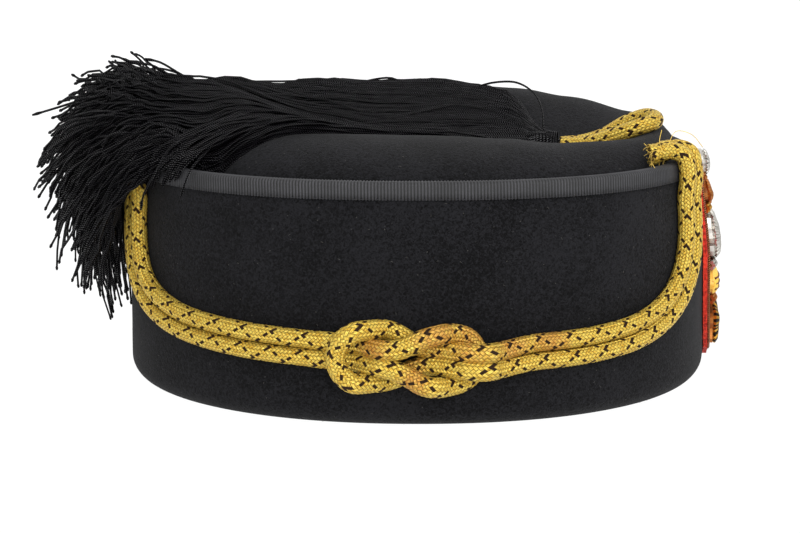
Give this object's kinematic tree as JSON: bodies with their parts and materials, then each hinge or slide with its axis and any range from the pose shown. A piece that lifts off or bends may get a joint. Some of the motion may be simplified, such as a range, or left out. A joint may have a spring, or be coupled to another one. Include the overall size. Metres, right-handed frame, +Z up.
{
  "type": "fez",
  "caption": "Soft black felt fez with a turned-up bound cuff, gold braided cord tied in a reef knot, an embroidered front badge and a long black tassel laid over its back.",
  "frame": {"origin": "middle of the part's box, on the plane that the fold of the cuff rests on", "axes": "+X towards the badge at the front, +Y towards the wearer's left, +Z up"},
  "size_m": [0.257, 0.2032, 0.1188],
  "materials": {
    "black_felt": "matt wool felt",
    "black_ribbon": "ribbed grosgrain",
    "gold_braid": "braided metallised thread with dark flecks",
    "black_cotton": "twisted thread",
    "red_felt": "matt wool felt",
    "silver_bullion": "coiled metal thread",
    "yellow_satin": "satin stitch",
    "copper_bullion": "coiled metal thread"
  },
  "bodies": {
    "root": {"felt_body": "black_felt", "edge_binding": "black_ribbon", "cord_back_bight": "gold_braid", "cord_front_bight": "gold_braid", "cord_far_upper": "gold_braid", "cord_far_lower": "gold_braid", "tassel": "black_cotton", "tassel_loop": "gold_braid", "badge_backing": "red_felt", "badge_bud": "silver_bullion", "badge_upper_leaves": "copper_bullion", "badge_rosette": "silver_bullion", "badge_satin_pad": "yellow_satin", "badge_palmette": "copper_bullion"}
  },
  "joints": []
}
